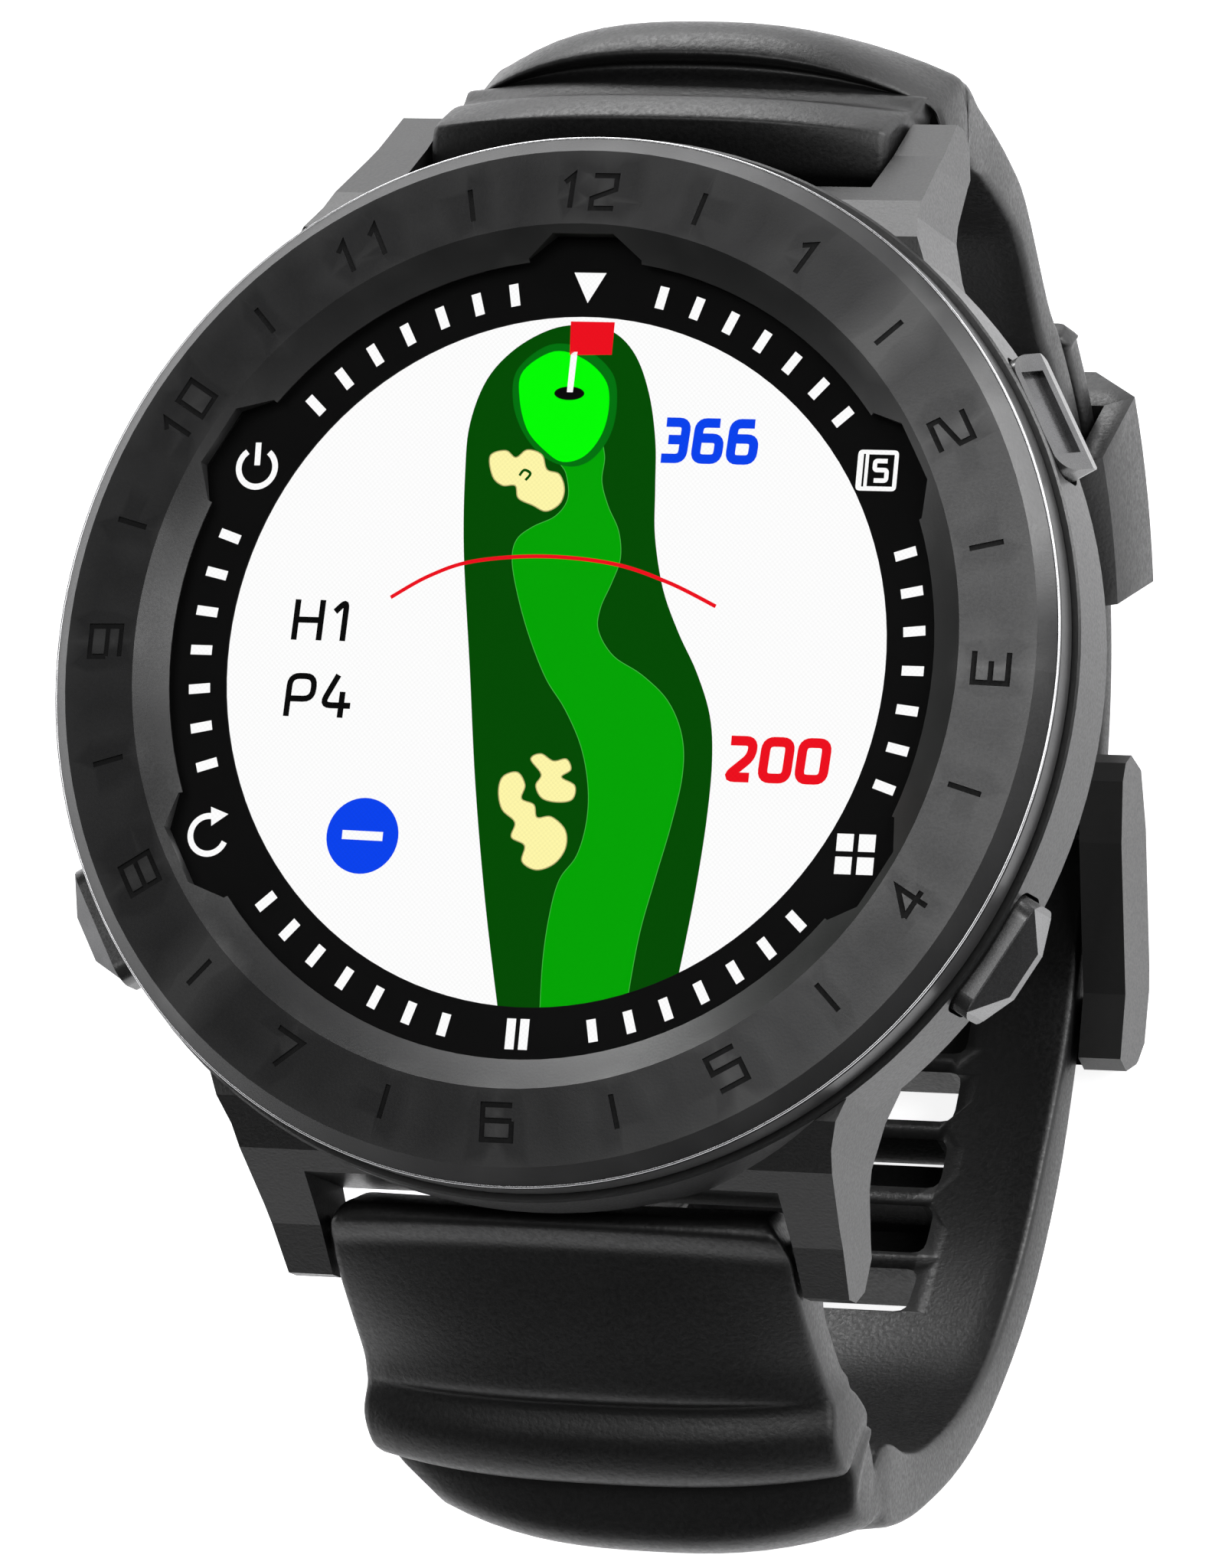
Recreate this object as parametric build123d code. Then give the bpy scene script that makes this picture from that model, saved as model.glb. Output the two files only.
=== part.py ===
from build123d import *
import math
import os

# Golf GPS watch, buckled into a closed loop and standing dial up on its strap.
# Millimetres.  +X is 3 o'clock, +Y is 12 o'clock, +Z is the way the dial faces.
# Everything is drawn about the dial's own axis and moved by `loop_shift` when written,
# so that the origin lies on the floor, below the middle of the whole watch.

# ---- driving dimensions -------------------------------------------------------------
face_z = 47.1            # height of the bezel's inner rim over the floor
loop_shift = 2.75        # puts the middle of the loop over the origin

rim_r = 19.05            # inner edge of the numeral face
face_r = 22.4            # outer edge of the numeral face
bezel_r = 23.2           # bezel's side wall
case_r = 23.55           # drum of the middle case
throat_r = 17.65         # foot of the sloping inner wall
window_r = 15.25         # visible part of the display
cavity_r = 18.55         # inside of the middle case
bezel_drop = 0.45        # fall of the numeral face from inner to outer edge
bezel_foot = 2.9         # depth of the seam between bezel and case
case_foot = 12.2         # depth of the case's underside
case_foot_r = 21.4       # the drum draws in to this radius at its foot
waist_depth = 6.6        # where it starts to draw in
pocket_depth = 5.9       # top of the room for a strap's tongue
pocket_y = 22.2          # and its wall

lug_gap = 22.0           # between the lugs of one side
lug_wall = 2.1
lug_reach = 26.1         # from the dial axis to a lug's tip
bar_y = 24.2             # lug spring bars
bar_z = face_z - 10.4
bar_r = 0.75

crystal_top = 0.95       # depths below the bezel's rim
crystal_t = 0.6

button_angles = {"score": 60, "menu": 120, "back": 240, "power": 300}
button_z = face_z - 4.7
button_len = 5.8
button_h = 2.7
button_face_r = 24.5
facet_tip_r = 25.15
button_play = 0.15       # gap round a button in its recess
stem_r = 0.75

arc_y = 2.85             # centre of the round back of the loop
arc_z = 25.15
layer_r = 22.2           # outer surface of the short strap there
inner_t = 1.9            # short strap's thickness
tail_t = 1.6             # long strap's thickness under the buckle
tail_gap = 0.2
strap_w_lug = 22.6
strap_w_end = 21.8
buckle_w = 26.6
buckle_inner_w = 22.5
pivot_y = 1.4            # buckle spring bar
pivot_z = 4.3
slot_w = 12.0
slot_l = 2.5
slot_pitch = 3.45


# ---- small helpers ------------------------------------------------------------------
def depth(d):
    """Height of a level that lies d below the bezel's rim."""
    return face_z - d


def ring(r_in, r_out, d_top, d_low):
    """A plain ring about the dial axis between two depths."""
    height = d_low - d_top
    body = Cylinder(r_out, height) - Cylinder(r_in, height)
    return Pos(0, 0, depth((d_top + d_low) / 2)) * body


def group(solids):
    """Several separate solids kept together in one node."""
    return Compound([solid for shape in solids for solid in shape.solids()])


def disc(r, d_top, d_low):
    height = d_low - d_top
    return Pos(0, 0, depth((d_top + d_low) / 2)) * Cylinder(r, height)


def block(x0, x1, y0, y1, z0, z1):
    size = Box(x1 - x0, y1 - y0, z1 - z0)
    return Pos((x0 + x1) / 2, (y0 + y1) / 2, (z0 + z1) / 2) * size


def turned(points):
    """Solid of revolution about the dial axis from (radius, depth) points."""
    outline = Polyline(*[(r, 0, depth(d)) for r, d in points], close=True)
    return revolve(make_face(outline), Axis.Z)


def across(outline, width):
    """A (y, z) outline made into a solid of the given width, centred on x = 0."""
    wire = Polyline(*[(0, y, z) for y, z in outline], close=True)
    return extrude(make_face(wire), amount=width / 2, dir=(1, 0, 0), both=True)


def clock(angle):
    """Frame on the case's side at a clock angle: x runs outwards, z stays up."""
    return Rot(0, 0, 90 - angle)


def on_arc(radius, angle):
    a = math.radians(angle)
    return (arc_y + radius * math.cos(a), arc_z + radius * math.sin(a))


def soft_block(x_mid, x_len, y_len, z_len, radius):
    """Box along x whose four long edges are rounded."""
    body = Box(x_len, y_len, z_len)
    return Pos(x_mid, 0, 0) * fillet(body.edges().filter_by(Axis.X), radius)


def x_rod(radius, length, y, z):
    return Pos(0, y, z) * Rot(0, 90, 0) * Cylinder(radius, length)


# ---- bezel with its engraved hours --------------------------------------------------
# Each figure is a few strokes on a box 1 wide and 1 high, centred on 0, 0.
figure_strokes = {
    "0": [[(-0.5, -0.5), (-0.5, 0.5), (0.5, 0.5), (0.5, -0.5), (-0.5, -0.5)]],
    "1": [[(-0.25, 0.28), (0.1, 0.5), (0.1, -0.5)]],
    "2": [[(-0.5, 0.5), (0.5, 0.5), (0.5, 0.08), (-0.5, -0.2), (-0.5, -0.5), (0.5, -0.5)]],
    "3": [[(-0.5, 0.5), (0.5, 0.5), (0.5, -0.5), (-0.5, -0.5)], [(-0.2, 0.0), (0.5, 0.0)]],
    "4": [[(0.2, -0.5), (0.2, 0.5), (-0.5, -0.15)], [(-0.5, -0.15), (0.5, -0.15)]],
    "5": [[(0.5, 0.5), (-0.5, 0.5), (-0.5, 0.05), (0.5, 0.05), (0.5, -0.5), (-0.5, -0.5)]],
    "6": [[(0.5, 0.5), (-0.5, 0.5), (-0.5, -0.5), (0.5, -0.5), (0.5, 0.05)],
          [(0.5, 0.05), (-0.5, 0.05)]],
    "7": [[(-0.5, 0.5), (0.5, 0.5), (0.0, -0.5)]],
    "8": [
        [(-0.5, -0.5), (-0.5, 0.5), (0.5, 0.5), (0.5, -0.5), (-0.5, -0.5)],
        [(-0.5, 0.0), (0.5, 0.0)],
    ],
    "9": [[(-0.5, -0.05), (-0.5, 0.5), (0.5, 0.5), (0.5, -0.5), (-0.5, -0.5)],
          [(-0.5, -0.05), (0.5, -0.05)]],
}
figure_h = 1.5
figure_w = 1.35
figure_gap = 0.55
stroke_w = 0.24
mark_len = 1.5
engrave_depth = 0.22
paint_depth = 0.1
mark_r = 20.5
upright_hours = (1, 2, 3, 9, 10, 11, 12)


def hour_sketch(text):
    """The strokes of one hour number, flat on XY and centred."""
    narrow = figure_w * (0.78 if len(text) > 1 else 1.0)
    step = narrow + figure_gap
    strokes = Sketch()
    for place, letter in enumerate(text):
        shift = (place - (len(text) - 1) / 2) * step
        for line in figure_strokes[letter]:
            points = [(shift + x * narrow, y * figure_h) for x, y in line]
            strokes += trace(Polyline(*points), stroke_w)
    return strokes


def bezel_strokes():
    """Upright prisms of every hour number and half-hour stroke."""
    prisms = []
    for hour in range(1, 13):
        angle = hour * 30
        flip = 0 if hour in upright_hours else 180
        flat = Rot(0, 0, -angle) * Pos(0, mark_r, 0) * Rot(0, 0, flip) * hour_sketch(str(hour))
        prisms.append(extrude(Pos(0, 0, depth(1.5)) * flat, amount=2))
        stroke = Rot(0, 0, -angle - 15) * Pos(0, mark_r, 0) * Rectangle(stroke_w, mark_len)
        prisms.append(extrude(Pos(0, 0, depth(1.5)) * stroke, amount=2))
    return prisms


def face_shell(top, low):
    """The space over the sloping numeral face, between two offsets below it."""
    r0, r1 = rim_r + 0.2, face_r - 0.1
    slope = bezel_drop / (face_r - rim_r)
    d0, d1 = (r0 - rim_r) * slope, (r1 - rim_r) * slope
    return turned([(r0, d0 + top), (r1, d1 + top), (r1, d1 + low), (r0, d0 + low)])


def notch_tools():
    """Trapezoid notches in the inner wall, where the dial's symbols sit."""
    tools = []
    for angle in (0, 60, 120, 240, 300):
        half_out, half_in = math.radians(4.3), math.radians(8.5)
        corners = [
            (throat_r - 0.4, -half_in),
            (throat_r + 0.15, -half_in),
            (rim_r - 0.35, -half_out),
            (rim_r - 0.35, half_out),
            (throat_r + 0.15, half_in),
            (throat_r - 0.4, half_in),
        ]
        points = [(r * math.sin(a), r * math.cos(a)) for r, a in corners]
        flat = Rot(0, 0, -angle) * make_face(Polyline(*points, close=True))
        tools.append(extrude(Pos(0, 0, depth(1.3)) * flat, amount=1.6))
    return tools


def bezel_ring():
    body = turned([
        (rim_r, 0.0),
        (face_r, bezel_drop),
        (bezel_r - 0.12, 1.15),
        (bezel_r - 0.12, 1.32),
        (bezel_r, 1.42),
        (bezel_r, bezel_foot - 0.12),
        (bezel_r - 0.12, bezel_foot - 0.02),
        (20.3, bezel_foot - 0.02),
        (20.3, crystal_top - 0.02),
        (throat_r, crystal_top - 0.02),
        (throat_r, crystal_top - 0.1),
    ])
    for tool in notch_tools():
        body -= tool
    shell = face_shell(-0.4, engrave_depth)
    paint_shell = face_shell(paint_depth, engrave_depth)
    marks = []
    for prism in bezel_strokes():
        body -= prism & shell
        marks += (prism & paint_shell).solids()
    return body, group(marks)


# ---- crystal, dial and display ------------------------------------------------------
def crystal():
    low = crystal_top + crystal_t
    glass = disc(19.4, crystal_top, low)
    return chamfer(glass.edges().group_by(Axis.Z)[-1], 0.12)


def crystal_gasket():
    return ring(19.46, 20.2, crystal_top + 0.05, crystal_top + crystal_t + 0.04)


def dial_mask():
    top = crystal_top + crystal_t + 0.02
    return ring(window_r, 18.9, top, top + 0.1)


def display_panel():
    """Round reflective display: two glass layers and its flat cable."""
    glass = disc(16.6, 1.72, 2.62)
    tail = block(-3.5, 3.5, -17.6, -16.2, depth(2.55), depth(2.35))
    return glass + tail


def light_guide():
    body = disc(16.6, 2.68, 3.18)
    foot = block(-2.0, 2.0, 16.0, 17.4, depth(3.18), depth(2.68))
    return body + foot


# ---- middle case --------------------------------------------------------------------
seat_r_in, seat_r_out = 18.95, 20.15    # step that carries the crystal


def case_end(side):
    """Two sloping lugs at one end of the case and the bridge between them."""
    profile = [(14.0, 3.1), (19.4, 3.1), (21.4, 4.9), (24.2, 8.4), (lug_reach, 10.4),
               (lug_reach, 11.3), (25.5, 12.1), (24.0, 12.1), (21.4, 9.9), (18.6, 8.6), (14.0, 8.6)]
    slab = across([(side * y, depth(d)) for y, d in profile], 60)
    inner, tip = lug_gap / 2, lug_gap / 2 + lug_wall
    half = [(15.6, 14.0), (15.2, 17.2), (13.9, 20.5), (13.4, 23.5), (tip, lug_reach),
            (inner, lug_reach), (inner, pocket_y)]
    plan = half + [(-x, y) for x, y in reversed(half)]
    outline = Polyline(*[(x, side * y, depth(13.5)) for x, y in plan], close=True)
    return extrude(make_face(outline), amount=13, dir=(0, 0, 1)) & slab


def mid_case():
    body = turned([
        (0, bezel_foot),
        (case_r - 0.1, bezel_foot),
        (case_r, bezel_foot + 0.1),
        (case_r, waist_depth),
        (case_foot_r, case_foot),
        (0, case_foot),
    ])
    for side in (1, -1):
        body += case_end(side)
    body += ring(seat_r_in, seat_r_out, crystal_top + crystal_t + 0.06, bezel_foot + 0.2)
    body -= disc(cavity_r, 0, 11.3)
    body -= disc(17.2, 11.2, 14)
    for side in (1, -1):
        y0, y1 = sorted((side * pocket_y, side * 30))
        body -= block(-lug_gap / 2, lug_gap / 2, y0, y1, 0, depth(pocket_depth))
        body -= x_rod(bar_r + 0.03, 2 * (lug_gap / 2 + 1.1), side * bar_y, bar_z)
    for angle in button_angles.values():
        frame = clock(angle) * Pos(0, 0, button_z)
        width, height = button_len + 2 * button_play, button_h + 2 * button_play
        body -= frame * soft_block(23.6, 4.0, width, height, 0.9)
        body -= frame * Pos(20, 0, 0) * Rot(0, 90, 0) * Cylinder(1.35, 6)
    for hole in screw_places():
        body -= hole * Cylinder(0.5, 3.0)
    return body


def screw_places():
    """Four case-back screws, straight up into the wall from below."""
    spots = []
    for angle in (45, 135, 225, 315):
        a = math.radians(angle)
        spots.append(Pos(19.6 * math.cos(a), 19.6 * math.sin(a), depth(11.2)))
    return spots


def case_back():
    plate = disc(21.0, case_foot + 0.02, case_foot + 1.0)
    spigot = disc(17.1, 11.4, case_foot + 0.1)
    dome = disc(14.5, case_foot + 0.8, 13.9)
    dome = chamfer(dome.edges().group_by(Axis.Z)[0], 0.5)
    plate = chamfer(plate.edges().group_by(Axis.Z)[0], 0.3)
    body = plate + spigot + dome
    body -= ring(16.1, 16.7, 11.3, 11.9)
    for x in contact_xs:
        body -= Pos(x, -8.0, depth(12.6)) * Cylinder(0.62, 4)
    for spot in screw_places():
        body -= spot * Cylinder(0.62, 6)
        body -= spot * Pos(0, 0, -2.05) * Cylinder(1.15, 1.0)
    for side in (1, -1):
        y0, y1 = sorted((side * 20.2, side * 22))
        body -= block(-20, 20, y0, y1, 30, 40)
    return body


contact_xs = (-3.81, -1.27, 1.27, 3.81)


def charging_contacts():
    pins = []
    for x in contact_xs:
        head = Pos(x, -8.0, depth(13.3)) * Cylinder(0.6, 1.1)
        stem = Pos(x, -8.0, depth(12.0)) * Cylinder(0.4, 1.7)
        pins.append(head + stem)
    return group(pins)


def back_gasket():
    return ring(16.15, 16.65, 11.34, 11.86)


def back_screws():
    screws = []
    for spot in screw_places():
        shank = spot * Pos(0, 0, -0.15) * Cylinder(0.48, 2.5)
        head = spot * Pos(0, 0, -1.75) * Cylinder(1.05, 0.4)
        slot = spot * Pos(0, 0, -1.95) * Box(1.5, 0.25, 0.3)
        screws.append(shank + head - slot)
    return group(screws)


# ---- electronics --------------------------------------------------------------------
board_top = 5.6
board_t = 0.7


def button_reliefs(r_clear):
    """Room behind each button for its switch."""
    cuts = []
    for angle in button_angles.values():
        shape = clock(angle) * Pos(r_clear + 2, 0, depth(6)) * Box(4, 6.2, 14)
        cuts.append(shape)
    return cuts


def chassis():
    body = disc(18.3, 3.25, 3.75) + ring(16.9, 18.3, 3.7, board_top - 0.02)
    body -= block(-6.1, 6.1, 4.4, 15.2, depth(4), depth(3))
    body -= block(-4, 4, -19, -15.6, depth(6), depth(3))
    for cut in button_reliefs(14.9):
        body -= cut
    return body


def main_board():
    body = disc(17.6, board_top, board_top + board_t)
    for cut in button_reliefs(14.9):
        body -= cut
    body -= block(-4, 4, -19, -16.4, depth(8), depth(5))
    return body


def board_chips():
    under = board_top + board_t
    parts = [
        block(-12.5, -6.0, -4.5, 3.5, depth(under + 0.01 + 1.0), depth(under + 0.01)),
        block(-3.5, 4.5, 12.2, 15.6, depth(under + 0.91), depth(under + 0.01)),
        block(-5, 1.5, -13, -7.5, depth(board_top - 0.01), depth(board_top - 1.2)),
        block(3.5, 8.0, -12, -8, depth(board_top - 0.01), depth(board_top - 0.9)),
        block(9.5, 12.5, -3, 3, depth(board_top - 0.01), depth(board_top - 1.1)),
    ]
    return group(parts)


def gps_antenna():
    """Square ceramic patch with its silvered top, facing the sky through the dial."""
    return block(-5.5, 5.5, 4.8, 14.8, depth(board_top - 0.02), depth(3.4))


def battery():
    pouch = block(-5.6, 13.2, -9.5, 11.3, depth(11.1), depth(7.4))
    pouch = fillet(pouch.edges().filter_by(Axis.Z), 1.2)
    tab = block(1.0, 6.5, -10.9, -9.45, depth(8.6), depth(7.6))
    return pouch + tab


def vibration_motor():
    can = Pos(-11.0, -1.0, depth(9.4)) * Cylinder(4.0, 2.7)
    foot = block(-11.9, -10.1, -7.0, -4.6, depth(10.6), depth(10.2))
    return can + foot


def button_switches():
    parts = []
    for angle in button_angles.values():
        frame = clock(angle) * Pos(0, 0, button_z)
        base = frame * Pos(15.55, 0, 0) * Box(1.0, 4.4, 2.4)
        dome = frame * Pos(16.25, 0, 0) * Box(0.4, 1.9, 1.7)
        parts.append(base + dome)
    return group(parts)


# ---- buttons ------------------------------------------------------------------------
cap_back_r = 22.35
stem_tip_r = 17.1
lean_r = 23.5            # top edge of the leaning face
facet_foot_r = 24.2      # where the pyramid starts
recess_w = 1.3
recess_deep = 0.35


def button_stem():
    reach = cap_back_r + 1.0 - stem_tip_r
    stem = Pos(stem_tip_r + reach / 2, 0, 0) * Rot(0, 90, 0) * Cylinder(stem_r, reach)
    groove = Pos(17.9, 0, 0) * Rot(0, 90, 0) * (Cylinder(1.2, 0.3) - Cylinder(0.5, 0.3))
    return stem - groove


def recessed_cap():
    """Cap whose outer face leans back at the top, with a shallow recess in it."""
    half = button_h / 2
    profile = [(cap_back_r, -half), (button_face_r - 0.3, -half), (button_face_r, 0.3 - half),
               (button_face_r, -0.3), (lean_r, half), (cap_back_r, half)]
    outline = Polyline(*[(r, 0, z) for r, z in profile], close=True)
    cap = extrude(make_face(outline), amount=button_len / 2, dir=(0, 1, 0), both=True)
    cap &= soft_block(cap_back_r + 2, 4, button_len, button_h, 0.9)
    lean = math.degrees(math.atan2(half + 0.3, button_face_r - lean_r))
    middle = Pos((button_face_r + lean_r) / 2, 0, (half - 0.3) / 2) * Rot(0, lean, 0)
    return cap - middle * Box(recess_w, button_len - 1.7, 2 * recess_deep)


def faceted_cap():
    """Cap with a long four-sided pyramid for an outer face."""
    length = facet_foot_r - cap_back_r
    body = soft_block(cap_back_r + length / 2, length, button_len, button_h, 0.9)
    base = Plane(origin=(facet_foot_r - 0.01, 0, 0), x_dir=(0, 1, 0), z_dir=(1, 0, 0))
    low = base * Rectangle(button_len - 0.5, button_h - 0.4)
    high = base.offset(facet_tip_r - facet_foot_r) * Rectangle(2.2, 0.6)
    return body + loft([low.face(), high.face()])


def button(name, angle):
    """Cap and stem in one piece; the cap's back is counterbored for the spring."""
    cap = recessed_cap() if name in ("score", "power") else faceted_cap()
    cap -= Pos(cap_back_r + 0.35, 0, 0) * Rot(0, 90, 0) * Cylinder(1.35, 0.9)
    return clock(angle) * Pos(0, 0, button_z) * (cap + button_stem())


def button_spring(angle):
    """Return spring, drawn as a sleeve at its pressed length so that the cap can travel."""
    frame = clock(angle) * Pos(0, 0, button_z)
    sleeve = Cylinder(1.25, 0.9) - Cylinder(0.85, 0.9)
    return frame * Pos(21.68, 0, 0) * Rot(0, 90, 0) * sleeve


def button_clip(angle):
    frame = clock(angle) * Pos(0, 0, button_z)
    clip = Cylinder(1.25, 0.24) - Cylinder(0.55, 0.24) - Pos(0, 0.9, 0) * Box(0.9, 1.8, 1)
    return frame * Pos(17.9, 0, 0) * Rot(0, 90, 0) * clip


def pusher_tubes():
    """Metal sleeves pressed into the case wall; each guides one stem."""
    parts = []
    for angle in button_angles.values():
        frame = clock(angle) * Pos(0, 0, button_z)
        tube = Cylinder(1.32, 2.4) - Cylinder(stem_r + 0.04, 2.4) - Cylinder(1.05, 1.0)
        parts.append(frame * Pos(20.0, 0, 0) * Rot(0, 90, 0) * tube)
    return group(parts)


def button_seals():
    parts = []
    for angle in button_angles.values():
        frame = clock(angle) * Pos(0, 0, button_z)
        seal = Cylinder(1.0, 0.6) - Cylinder(stem_r + 0.03, 0.6)
        parts.append(frame * Pos(20.0, 0, 0) * Rot(0, 90, 0) * seal)
    return group(parts)


# ---- straps -------------------------------------------------------------------------
def taper():
    """Front outline of the straps: crowned at the lugs, narrower at the keeper and buckle."""
    top, low = strap_w_lug / 2, strap_w_end / 2
    half = [(low, -2), (low, 12), (top, 32), (10.7, 37.9), (7.5, 39.9)]
    points = half + [(0, 41.3)] + [(-x, z) for x, z in reversed(half)]
    outline = Polyline(*[(x, 0, z) for x, z in points], close=True)
    return extrude(make_face(outline), amount=60, dir=(0, 1, 0), both=True)


def strap_solid(edges):
    """Closed chain of curves in the x = 0 plane, made as wide as the strap."""
    face = make_face(edges)
    solid = extrude(face, amount=14, dir=(1, 0, 0), both=True)
    return solid & taper()


def lug_relief(side):
    """Leaves only the tongue between the lugs."""
    cuts = []
    for hand in (1, -1):
        x0, x1 = sorted((hand * 10.85, hand * 16))
        y0, y1 = sorted((side * 18, side * (lug_reach + 0.3)))
        cuts.append(block(x0, x1, y0, y1, 28, 60))
    return cuts


def short_strap():
    """12 o'clock half: tongue, two bellows folds, band and the loop for the buckle bar."""
    a0, a1 = -25.0, -92.5
    outer_start, outer_end = on_arc(layer_r, a0), on_arc(layer_r, a1)
    inner_start, inner_end = on_arc(layer_r - inner_t, a0), on_arc(layer_r - inner_t, a1)
    folds_out = [(22.9, 40.4), (24.3, 41.0), (26.6, 39.4), (28.0, 38.1), (29.4, 37.8),
                 (30.5, 36.9), (31.0, 33.6), (30.4, 31.0), (29.0, 29.2)]
    folds_in = [(26.2, 29.1), (26.5, 30.7), (28.3, 31.2), (27.4, 32.4), (26.3, 32.6),
                (26.7, 33.8), (27.6, 35.0), (26.9, 35.8), (25.8, 35.1), (24.4, 34.7),
                (22.7, 35.5), (22.4, 37.0)]
    at = lambda p: Vector(0, p[0], p[1])
    tangent = Vector(0, math.sin(math.radians(-a0)), math.cos(math.radians(-a0)))
    lines = [
        Polyline(*[at(p) for p in folds_out]),
        Spline(at(folds_out[-1]), at((27.3, 24.0)), at(outer_start),
               tangents=[Vector(0, -0.25, -0.97), -tangent]),
        ThreePointArc(at(outer_start), at(on_arc(layer_r, (a0 + a1) / 2)), at(outer_end)),
        Line(at(outer_end), at(inner_end)),
        ThreePointArc(at(inner_end), at(on_arc(layer_r - inner_t, (a0 + a1) / 2)), at(inner_start)),
        Spline(at(inner_start), at((25.2, 24.2)), at(folds_in[0]),
               tangents=[tangent, Vector(0, 0.1, 0.99)]),
        Polyline(*[at(p) for p in folds_in + folds_out[:1]]),
    ]
    body = strap_solid(lines)
    body += x_rod(1.35, strap_w_end, pivot_y, pivot_z) & taper()
    body -= x_rod(bar_r + 0.02, 40, pivot_y, pivot_z)
    body -= block(-1.5, 1.5, pivot_y - 3, pivot_y + 1.6, 2, 7)
    body -= x_rod(bar_r + 0.02, 40, bar_y, bar_z)
    for cut in lug_relief(1):
        body -= cut
    return body


tail_tip = -33.0         # arc angle of the long strap's free end
band_in = [(-2.0, 2.9), (-6.0, 3.3), (-10.0, 4.0), (-14.5, 5.35), (-20.0, 7.4), (-25.4, 11.0),
           (-28.4, 15.2), (-30.4, 19.6), (-31.2, 23.4)]
band_out = [(-2.0, 1.3), (-6.0, 1.65), (-10.5, 1.95), (-16.2, 3.0), (-22.2, 5.5), (-27.3, 9.6),
            (-30.6, 14.2), (-33.0, 19.2), (-34.2, 23.0)]


def long_strap():
    """6 o'clock half: tongue, bellows folds, slotted band and the tail through the keeper."""
    r_in, r_out = layer_r + tail_gap, layer_r + tail_gap + tail_t
    mid_angle = (tail_tip - 90) / 2
    folds_in = [band_in[-1], (-31.5, 26.0), (-33.1, 27.1), (-32.0, 28.6), (-31.0, 28.6),
                (-29.9, 30.7), (-28.6, 32.2), (-26.6, 33.2), (-24.4, 34.6), (-22.7, 35.5),
                (-22.4, 37.0), (-22.9, 39.4), (-24.3, 39.9), (-27.4, 37.4), (-31.0, 34.5),
                (-33.2, 33.6), (-33.9, 32.3), (-33.4, 31.2), (-36.3, 29.4), (-36.5, 27.3),
                (-35.2, 25.8), band_out[-1]]
    at = lambda p: Vector(0, p[0], p[1])
    lines = [
        Polyline(*[at(p) for p in folds_in]),
        Spline(*[at(p) for p in reversed(band_out)], at(on_arc(r_out, -90)),
               tangents=[Vector(0, 0.35, -0.93), Vector(0, 1, 0)]),
        ThreePointArc(at(on_arc(r_out, -90)), at(on_arc(r_out, mid_angle)),
                      at(on_arc(r_out, tail_tip - 1.5))),
        Line(at(on_arc(r_out, tail_tip - 1.5)), at(on_arc(r_in, tail_tip))),
        ThreePointArc(at(on_arc(r_in, tail_tip)), at(on_arc(r_in, mid_angle)),
                      at(on_arc(r_in, -90))),
        Spline(at(on_arc(r_in, -90)), *[at(p) for p in band_in],
               tangents=[Vector(0, -1, 0), Vector(0, -0.15, 0.99)]),
    ]
    body = strap_solid(lines)
    body -= x_rod(bar_r + 0.02, 40, -bar_y, bar_z)
    for cut in lug_relief(-1):
        body -= cut
    for frame in slot_frames():
        hole = Box(slot_w, slot_l, 5)
        body -= frame * fillet(hole.edges().filter_by(Axis.Z), 0.6)
    return body


def slot_frames():
    """Places of the ladder of slots, square to the band, from the tongue both ways."""
    frames = []
    first = Spline(*[Vector(0, y, z) for y, z in [on_arc(layer_r + tail_gap, -90)] + band_in],
                   tangents=[Vector(0, -1, 0), Vector(0, -0.15, 0.99)])
    start = 4.95
    for step in range(7):
        t = (start + step * slot_pitch) / first.length
        spot, along = first @ t, first % t
        frames.append(Plane(origin=spot, x_dir=(1, 0, 0), z_dir=along.cross(Vector(1, 0, 0))))
    for step in range(1, 5):
        angle = -90 + math.degrees((step * slot_pitch - start) / layer_r)
        y, z = on_arc(layer_r, angle)
        a = math.radians(angle)
        normal = Vector(0, math.cos(a), math.sin(a))
        frames.append(Plane(origin=(0, y, z), x_dir=(1, 0, 0), z_dir=normal))
    return [Location(plane) for plane in frames]


# ---- keeper and buckle --------------------------------------------------------------
keeper_from, keeper_to = -46.0, -67.0


def keeper_loop():
    """Bevelled rubber loop, turned about the centre of the loop's round back."""
    floor_r = arc_z / math.sin(math.radians(-keeper_to))
    outer = [(-12.4, 19.9), (-11.4, 18.9), (11.4, 18.9), (12.4, 19.9), (12.4, 25.4),
             (9.9, floor_r), (-9.9, floor_r), (-12.4, 25.4)]
    inner = [(-11.15, 20.0), (11.15, 20.0), (11.15, 24.35), (-11.15, 24.35)]
    shape = []
    for points in (outer, inner):
        shape.append(make_face(Polyline(*[(x, arc_y, arc_z - r) for x, r in points], close=True)))
    section = shape[0] - shape[1]
    axis = Axis((0, arc_y, arc_z), (1, 0, 0))
    span = keeper_from - keeper_to
    loop = revolve(section, axis, span)
    return loop.rotate(axis, keeper_to + 90)


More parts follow.
